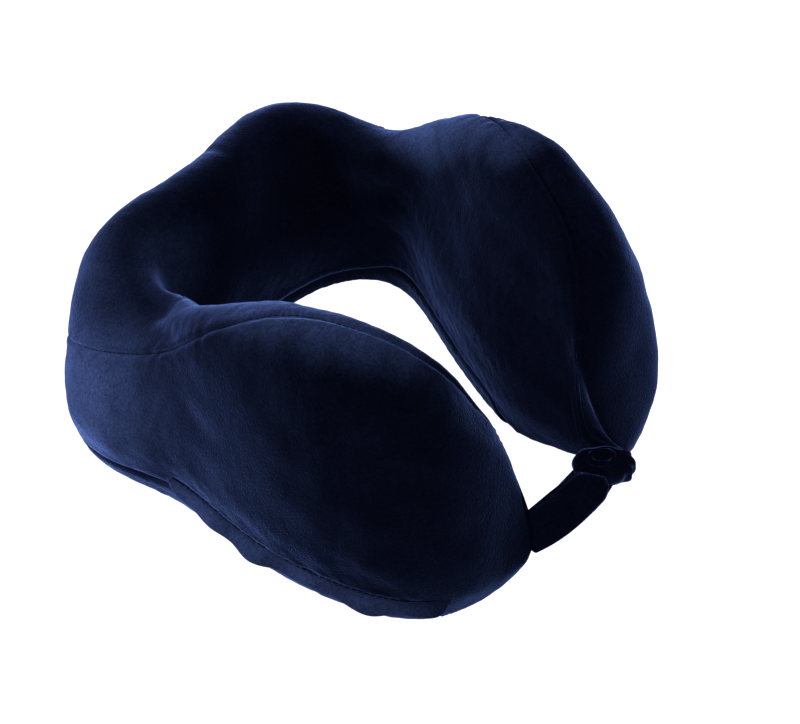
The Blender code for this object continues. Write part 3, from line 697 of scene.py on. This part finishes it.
def keeper_left(y):
    """Where the keeper begins at a given y, as an x."""
    cos, sin = math.cos(KEEPER_TURN), math.sin(KEEPER_TURN)
    along, across = KEEPER_HALF[:2] * 1.06
    dy = y - KEEPER_CENTRE[1]
    a = (cos / along) ** 2 + (sin / across) ** 2
    b = 2 * dy * cos * sin * (1 / along ** 2 - 1 / across ** 2)
    c = dy ** 2 * ((sin / along) ** 2 + (cos / across) ** 2) - 1
    root = b * b - 4 * a * c
    return np.where(root > 0, KEEPER_CENTRE[0] - (b + np.sqrt(np.maximum(root, 0))) / (2 * a), 0.03)


def band_mesh(name, node, side, outer, inner, above, seed):
    """A padded band over one CAD band: a sewn root, a round end, crowned faces and a sewn edge."""
    low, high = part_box(node)
    middle_z, thick = (low.z + high.z) / 2, (high.z - low.z) / 2
    root = side * 0.0385
    end = high.x if side < 0 else low.x
    u = 1 - (1 - np.linspace(0, 1, BAND_RINGS)) ** 1.35
    u[-1] = 0.9995
    x = root + (end - root) * u
    outer_y, inner_y = edge_curve(outer)(side * x), edge_curve(inner)(side * x)
    round_from = 1 - (high.y - low.y) / 2 / abs(end - root)
    shape = np.sqrt(1 - np.clip((u - round_from) / (1 - round_from), 0, 1) ** 2)
    half = (inner_y - outer_y) / 2 * shape
    v = np.linspace(0, 2 * math.pi, BAND_COLUMNS, endpoint=False)
    across = np.sign(np.cos(v)) * np.abs(np.cos(v)) ** 0.85
    y = ((inner_y + outer_y) / 2)[:, None] + half[:, None] * across
    lean = side * 0.0045 * (0.5 - (y - outer_y[:, None]) / (inner_y - outer_y)[:, None])
    x = x[:, None] + lean * (1 - u[:, None])
    if side < 0:
        over = (x - keeper_left(y) + KEEPER_GAP) / 0.0006
        x = x - 0.0006 * np.logaddexp(0, over)
    swell = np.abs(np.sin(v)) ** 0.7 * np.minimum(1, shape[:, None] ** 0.6 + 0.15)
    height = np.where(np.sin(v) > 0, above(x, middle_z) - middle_z, thick)
    z = middle_z + np.sign(np.sin(v)) * height * swell
    sewn = np.exp(-((np.abs(across) - TOPSTITCH) / 0.05) ** 2) * (np.sin(v) > 0)
    z = z - 0.0009 * sewn * shape[:, None]
    points = np.stack([x, y, z], -1)
    points[..., 2] += 0.0004 * waves(points, 0.014, seed) * (np.sin(v) > 0.2)
    piece = add_mesh(name, points, closed_faces(*points.shape[:2]))
    soften(piece)
    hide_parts(node)
    return piece


def build_strap(finish):
    cap_low, cap_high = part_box("snap_cap")

    def above(x, middle_z):
        pad = middle_z + 0.0034
        cover = cap_high.z + 0.0010
        return pad + (cover - pad) * np.exp(-((x - (cap_low.x + cap_high.x) / 2) / 0.013) ** 2)

    strap = band_mesh("strap_padded", "strap_band", -1, STRAP_OUTER, STRAP_INNER, above, 71)
    strap.data.materials.append(finish)
    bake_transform(strap)


def build_tab(finish):
    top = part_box("strap_tab")[1].z
    tab = band_mesh("strap_tab_padded", "strap_tab", 1, TAB_OUTER, TAB_INNER, lambda x, z: top + 0 * x, 81)
    tab.data.materials.append(finish)
    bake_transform(tab)


def build_keeper(finish):
    """The tab's gathered root: a stuffed fold that the strap's end lies against, with a pressed ring."""
    work = bmesh.new()
    bmesh.ops.create_uvsphere(work, u_segments=96, v_segments=64, radius=1.0)
    mesh = bpy.data.meshes.new("strap_tab_keeper")
    work.to_mesh(mesh)
    work.free()
    unit = np.array([v.co for v in mesh.vertices])
    flat = np.sign(unit) * np.abs(unit) ** np.array((0.85, 0.85, 0.68))
    local = flat * KEEPER_HALF
    turn = np.arctan2(unit[:, 1], unit[:, 0])
    wall = 1 - np.abs(unit[:, 2]) ** 1.5
    right = ease(unit[:, 0], 0.1, 0.8)
    gather = (np.sin(turn * 11 + 1.5) * (0.25 + 0.75 * right)) * wall * 0.0010
    local[:, :2] += unit[:, :2] * gather[:, None]
    away = np.hypot((local[:, 0] + 0.0015) / KEEPER_RING[0], local[:, 1] / KEEPER_RING[1])
    top = (unit[:, 2] > 0) * np.clip(unit[:, 2], 0, 1) ** 0.2
    ring = 0.0008 * np.exp(-((away - 1.0) / 0.14) ** 2) - 0.0009 * np.exp(-((away - 1.32) / 0.13) ** 2)
    dent = -0.0018 * (1 - ease(away, 0.55, 0.92))
    local[:, 2] += (ring + dent) * top
    local += unit * (0.0003 * waves(local, 0.009, 92))[:, None]
    cos, sin = math.cos(KEEPER_TURN), math.sin(KEEPER_TURN)
    points = np.stack([local[:, 0] * cos - local[:, 1] * sin, local[:, 0] * sin + local[:, 1] * cos,
                       local[:, 2]], -1) + KEEPER_CENTRE
    mesh.vertices.foreach_set("co", points.astype(np.float32).ravel())
    mesh.shade_smooth()
    mesh.materials.append(finish)
    keeper = bpy.data.objects.new("strap_tab_keeper", mesh)
    bpy.context.scene.collection.objects.link(keeper)
    soften(keeper)
    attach(keeper, "strap_tab")


# ---------------------------------------------------------------- materials

def new_material(name, colour, roughness, metallic=0.0):
    """A material with an empty Principled surface; returns (material, nodes, links, shader)."""
    new = bpy.data.materials.new(name)
    new.use_nodes = True
    shader = new.node_tree.nodes["Principled BSDF"]
    shader.inputs["Base Color"].default_value = (*colour, 1)
    shader.inputs["Roughness"].default_value = roughness
    shader.inputs["Metallic"].default_value = metallic
    return new, new.node_tree.nodes, new.node_tree.links, shader


def noise_node(nodes, links, coords, scale, detail=3.0, roughness=0.55, distortion=0.0, stretch=None):
    if stretch:
        mapping = nodes.new("ShaderNodeMapping")
        mapping.inputs["Scale"].default_value = stretch
        links.new(coords, mapping.inputs["Vector"])
        coords = mapping.outputs["Vector"]
    node = nodes.new("ShaderNodeTexNoise")
    node.inputs["Scale"].default_value = scale
    node.inputs["Detail"].default_value = detail
    node.inputs["Roughness"].default_value = roughness
    node.inputs["Distortion"].default_value = distortion
    links.new(coords, node.inputs["Vector"])
    return node.outputs["Fac"]


def ramp_node(nodes, links, factor, stops):
    node = nodes.new("ShaderNodeValToRGB")
    ramp = node.color_ramp
    while len(ramp.elements) < len(stops):
        ramp.elements.new(0.5)
    for element, (place, colour) in zip(ramp.elements, stops):
        element.position = place
        element.color = (*colour, 1)
    links.new(factor, node.inputs["Fac"])
    return node.outputs["Color"]


def mix_colour(nodes, links, factor, a, b, kind="MIX"):
    node = nodes.new("ShaderNodeMix")
    node.data_type = "RGBA"
    node.blend_type = kind
    for socket, value in ((node.inputs["Factor"], factor), (node.inputs["A"], a), (node.inputs["B"], b)):
        if isinstance(value, (int, float)):
            socket.default_value = value
        elif isinstance(value, tuple):
            socket.default_value = (*value, 1)
        else:
            links.new(value, socket)
    return node.outputs["Result"]


def math_node(nodes, links, kind, a, b):
    node = nodes.new("ShaderNodeMath")
    node.operation = kind
    for socket, value in zip(node.inputs, (a, b)):
        if isinstance(value, (int, float)):
            socket.default_value = value
        else:
            links.new(value, socket)
    return node.outputs["Value"]


PAINTED_HIGHLIGHT = (  # (centre, radius, strength) of painted highlights, where the colour is lighter because light falls there and the sheen shows
    ((-0.1240, 0.0760, 0.0500), 0.066, 0.66),
    ((-0.0860, 0.1080, 0.0950), 0.040, 0.14),
    ((-0.0790, 0.0160, 0.1500), 0.034, 0.72),
    ((-0.0790, -0.0020, 0.1530), 0.036, 0.80),
    ((-0.0760, -0.0200, 0.1560), 0.036, 0.80),
    ((-0.0720, -0.0380, 0.1580), 0.036, 0.80),
    ((-0.0660, -0.0560, 0.1580), 0.034, 0.72),
    ((-0.0590, -0.0730, 0.1560), 0.030, 0.56),
    ((-0.0500, 0.0840, 0.0860), 0.040, 0.36),
    ((0.0780, 0.0330, 0.1230), 0.032, 1.00),
    ((0.0840, 0.0120, 0.1340), 0.028, 0.80),
    ((0.0820, -0.0100, 0.1440), 0.024, 0.50),
    ((0.0760, -0.0300, 0.1500), 0.022, 0.45),
)
PAINTED_HIGHLIGHT_FLAP = (  # the same painted highlights for the lighter base velour, along the flap over the zip
    ((-0.1260, 0.0050, 0.0200), 0.046, 0.75),
    ((-0.1240, -0.0300, 0.0200), 0.046, 0.75),
    ((-0.1200, -0.0620, 0.0200), 0.046, 0.75),
    ((-0.1080, -0.0960, 0.0200), 0.046, 0.75),
)
# colour of the painted highlights
PAINTED_HIGHLIGHT_COLOUR = (0.026, 0.042, 0.118)


def painted_highlight_share(nodes, links, coords, patches, zones):
    """How strong the painted highlight is at a place, from 0 to 1."""
    total = None
    for centre, radius, strength in zones:
        apart = nodes.new("ShaderNodeVectorMath")
        apart.operation = "DISTANCE"
        links.new(coords, apart.inputs[0])
        apart.inputs[1].default_value = centre
        fade = nodes.new("ShaderNodeMapRange")
        fade.interpolation_type = "SMOOTHSTEP"
        for socket, value in (("From Min", 0.0), ("From Max", radius), ("To Min", strength), ("To Max", 0.0)):
            fade.inputs[socket].default_value = value
        links.new(apart.outputs["Value"], fade.inputs["Value"])
        share = fade.outputs["Result"]
        total = share if total is None else math_node(nodes, links, "MAXIMUM", total, share)
    uneven = math_node(nodes, links, "ADD", math_node(nodes, links, "MULTIPLY", patches, 0.9), 0.55)
    return math_node(nodes, links, "MULTIPLY", total, uneven)


def velour_material(name, dark, middle, light, sheen_tint, zones):
    """Short pile: painted highlight zones and random patches, small tufts, fine hairs and a navy sheen."""
    new, nodes, links, shader = new_material(name, middle, 0.85)
    coords = nodes.new("ShaderNodeTexCoord").outputs["Object"]
    patches = noise_node(nodes, links, coords, 26, 3, 0.6, 0.8)
    strokes = noise_node(nodes, links, coords, 210, 3, 0.6, 0.5, stretch=(1.0, 1.0, 0.7))
    tufts = noise_node(nodes, links, coords, 760, 2, 0.6, 0.4)
    hairs = noise_node(nodes, links, coords, 1900, 2, 0.6, 0.2)
    base = ramp_node(nodes, links, patches, [(0.25, dark), (0.52, middle), (0.80, light)])
    # painted highlights: the colour turns lighter in the given zones, where light falls
    base = mix_colour(nodes, links, painted_highlight_share(nodes, links, coords, patches, zones), base,
                      PAINTED_HIGHLIGHT_COLOUR)
    mottle = ramp_node(nodes, links, strokes, [(0.33, (0.8,) * 3), (0.66, (1.15,) * 3)])
    fibre = ramp_node(nodes, links, tufts, [(0.36, (0.7,) * 3), (0.64, (1.25,) * 3)])
    base = mix_colour(nodes, links, 0.6, base, mottle, "MULTIPLY")
    base = mix_colour(nodes, links, 1.0, base, fibre, "MULTIPLY")
    links.new(base, shader.inputs["Base Color"])
    shader.inputs["Roughness"].default_value = 0.75
    shader.inputs["Specular IOR Level"].default_value = 0.0
    shader.inputs["Sheen Weight"].default_value = 1.0
    shader.inputs["Sheen Roughness"].default_value = 0.3
    shader.inputs["Sheen Tint"].default_value = (*sheen_tint, 1)
    height = math_node(nodes, links, "MULTIPLY", strokes, 0.15)
    height = math_node(nodes, links, "ADD", height, tufts)
    height = math_node(nodes, links, "ADD", height, math_node(nodes, links, "MULTIPLY", hairs, 0.35))
    bump = nodes.new("ShaderNodeBump")
    bump.inputs["Strength"].default_value = 0.55
    bump.inputs["Distance"].default_value = 0.0007
    links.new(height, bump.inputs["Height"])
    links.new(bump.outputs["Normal"], shader.inputs["Normal"])
    return new


def speckled_material(name, colour, roughness, metallic, scale, bump_height, spread=0.3):
    """A plain colour with fine variation of tone, roughness and surface."""
    new, nodes, links, shader = new_material(name, colour, roughness, metallic)
    coords = nodes.new("ShaderNodeTexCoord").outputs["Object"]
    fine = noise_node(nodes, links, coords, scale, 4, 0.6)
    broad = noise_node(nodes, links, coords, scale / 12, 3, 0.6)
    low = tuple(c * (1 - spread) for c in colour)
    high = tuple(min(1.0, c * (1 + spread)) for c in colour)
    tone = ramp_node(nodes, links, broad, [(0.35, low), (0.65, high)])
    tone = mix_colour(nodes, links, 0.5, tone, ramp_node(nodes, links, fine, [
        (0.35, (0.7,) * 3), (0.65, (1.2,) * 3)]), "MULTIPLY")
    links.new(tone, shader.inputs["Base Color"])
    rough = ramp_node(nodes, links, fine, [
        (0.3, (roughness * 0.75,) * 3), (0.7, (min(1, roughness * 1.2),) * 3)])
    links.new(rough, shader.inputs["Roughness"])
    bump = nodes.new("ShaderNodeBump")
    bump.inputs["Strength"].default_value = 0.5
    bump.inputs["Distance"].default_value = bump_height
    links.new(fine, bump.inputs["Height"])
    links.new(bump.outputs["Normal"], shader.inputs["Normal"])
    return new


def woven_material(name, colour, roughness):
    """Fine plain weave, from two crossing sets of threads."""
    new, nodes, links, shader = new_material(name, colour, roughness)
    coords = nodes.new("ShaderNodeTexCoord").outputs["Object"]
    bands = []
    for direction in ("X", "Z"):
        wave = nodes.new("ShaderNodeTexWave")
        wave.bands_direction = direction
        wave.inputs["Scale"].default_value = 420
        wave.inputs["Distortion"].default_value = 0.6
        links.new(coords, wave.inputs["Vector"])
        bands.append(wave.outputs["Fac"])
    weave = math_node(nodes, links, "MULTIPLY", *bands)
    tone = ramp_node(nodes, links, weave, [(0.0, tuple(c * 0.5 for c in colour)),
                                           (1.0, tuple(c * 1.8 for c in colour))])
    links.new(tone, shader.inputs["Base Color"])
    bump = nodes.new("ShaderNodeBump")
    bump.inputs["Strength"].default_value = 0.7
    bump.inputs["Distance"].default_value = 0.0002
    links.new(weave, bump.inputs["Height"])
    links.new(bump.outputs["Normal"], shader.inputs["Normal"])
    return new


VELOUR = velour_material("velour", (0.0014, 0.0018, 0.0056), (0.0018, 0.0025, 0.0078),
                         (0.0024, 0.0034, 0.0106), (0.14, 0.23, 0.66), PAINTED_HIGHLIGHT)
# a lighter copy of the velour for the base panels and the flap: painted light for the light bounced up from
# the floor and the glancing sheen there
VELOUR_LIT_BASE = velour_material("velour_base", (0.0020, 0.0028, 0.0086), (0.0026, 0.0036, 0.0112),
                              (0.0034, 0.0048, 0.0146), (0.15, 0.245, 0.68), PAINTED_HIGHLIGHT_FLAP)
FOAM = speckled_material("memory_foam", (0.78, 0.76, 0.66), 0.95, 0.0, 1500, 0.0006, 0.05)
THREAD = speckled_material("thread", (0.0012, 0.0016, 0.0050), 0.9, 0.0, 3000, 0.0001)
COIL = speckled_material("zip_coil", (0.012, 0.015, 0.045), 0.4, 0.0, 2500, 0.00005)
TAPE = woven_material("zip_tape", (0.010, 0.013, 0.042), 0.85)
ZINC = speckled_material("zip_metal", (0.012, 0.017, 0.045), 0.4, 0.0, 1800, 0.00005)
SNAP = speckled_material("snap_metal", (0.10, 0.11, 0.16), 0.3, 0.9, 1800, 0.00005)
for dull, level in ((THREAD, 0.0), (TAPE, 0.1), (COIL, 0.25), (ZINC, 0.25)):
    dull.node_tree.nodes["Principled BSDF"].inputs["Specular IOR Level"].default_value = level
CAD_FINISH = {"zipper_tape": TAPE, "zipper_rear": ZINC, "zipper_front": ZINC, "zipper_slider": ZINC,
              "zipper_pull": ZINC, "snap": SNAP}


def finish_cad_nodes():
    """Gives each CAD node that stays visible its own procedural material."""
    for name, node in frame["nodes"].items():
        for start, finish in CAD_FINISH.items():
            if name.startswith(start) and not node.hide_render:
                node.data.materials.clear()
                node.data.materials.append(finish)


# ---------------------------------------------------------------- studio

def build_studio():
    world = bpy.data.worlds.new("studio")
    world.use_nodes = True
    world.node_tree.nodes["Background"].inputs["Color"].default_value = (1.0, 1.0, 1.0, 1)
    world.node_tree.nodes["Background"].inputs["Strength"].default_value = 0.12
    bpy.context.scene.world = world
    bpy.context.scene.view_settings.view_transform = "Standard"

    work = bmesh.new()
    bmesh.ops.create_grid(work, x_segments=8, y_segments=8, size=3.0)
    mesh = bpy.data.meshes.new("floor")
    work.to_mesh(mesh)
    work.free()
    floor = bpy.data.objects.new("floor", mesh)
    bpy.context.scene.collection.objects.link(floor)
    pale, nodes, links, shader = new_material("floor", (0.93, 0.93, 0.94), 0.9)
    coords = nodes.new("ShaderNodeTexCoord").outputs["Object"]
    tone = ramp_node(nodes, links, noise_node(nodes, links, coords, 3), [
        (0.3, (0.92, 0.92, 0.93)), (0.7, (0.94, 0.94, 0.945))])
    links.new(tone, shader.inputs["Base Color"])
    mesh.materials.append(pale)
    floor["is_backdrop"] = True

    shown = bpy.data.collections.new("lit_by_key")
    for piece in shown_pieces():
        shown.objects.link(piece)

    def area(name, place, size, power, only=None, shadow=True):
        data = bpy.data.lights.new(name, "AREA")
        data.shape = "DISK"
        data.size = size
        data.energy = power
        lamp = bpy.data.objects.new(name, data)
        lamp.location = place
        lamp.rotation_euler = (Vector((0, 0, 0.05)) - Vector(place)).to_track_quat("-Z", "Y").to_euler()
        bpy.context.scene.collection.objects.link(lamp)
        if only:
            lamp.light_linking.receiver_collection = only
        if not shadow:
            lamp.light_linking.blocker_collection = only

    on_floor = bpy.data.collections.new("lit_by_floor_light")
    on_floor.objects.link(floor)
    area("floor_light", (0.0, 0.0, 2.4), 3.0, 105, on_floor, shadow=False)
    area("key", (-0.22, 0.36, 0.15), 0.2, 2.9, shown)
    area("side", (-1.22, 0.0, 1.5), 0.7, 6, shown)
    area("back", (0.86, 0.86, 1.5), 0.7, 26, shown)
    area("front", (0.0, -1.22, 1.5), 0.9, 11, shown)


CAMERA_AZIMUTH = -50.627
CAMERA_ELEVATION = 48.342
CAMERA_DISTANCE = 0.953
CAMERA_TARGET = (0.024, -0.0017, 0.009)
CAMERA_LENS = 77.72


def build_camera():
    azimuth, elevation = math.radians(CAMERA_AZIMUTH), math.radians(CAMERA_ELEVATION)
    back = Vector((math.sin(azimuth) * math.cos(elevation), -math.cos(azimuth) * math.cos(elevation),
                   math.sin(elevation)))
    data = bpy.data.cameras.new("camera")
    data.lens = CAMERA_LENS
    data.sensor_width = 36.0
    data.clip_start = 0.01
    camera = bpy.data.objects.new("camera", data)
    camera.location = Vector(CAMERA_TARGET) + back * CAMERA_DISTANCE
    camera.rotation_euler = (-back).to_track_quat("-Z", "Y").to_euler()
    bpy.context.scene.collection.objects.link(camera)
    bpy.context.scene.camera = camera


# ---------------------------------------------------------------- assembly

for side_name in SIDES:
    build_panel(side_name, "top", VELOUR)
    build_panel(side_name, "outer", VELOUR)
    build_panel(side_name, "base", VELOUR_LIT_BASE)
    build_foam(side_name, FOAM)
    build_seam(side_name, THREAD)
for which in ("upper", "lower"):
    build_coil(which, COIL)
build_tape_backing(TAPE)
build_flap(VELOUR_LIT_BASE, THREAD)
build_strap(VELOUR)
build_tab(VELOUR)
build_keeper(VELOUR)
finish_cad_nodes()
build_studio()
build_camera()
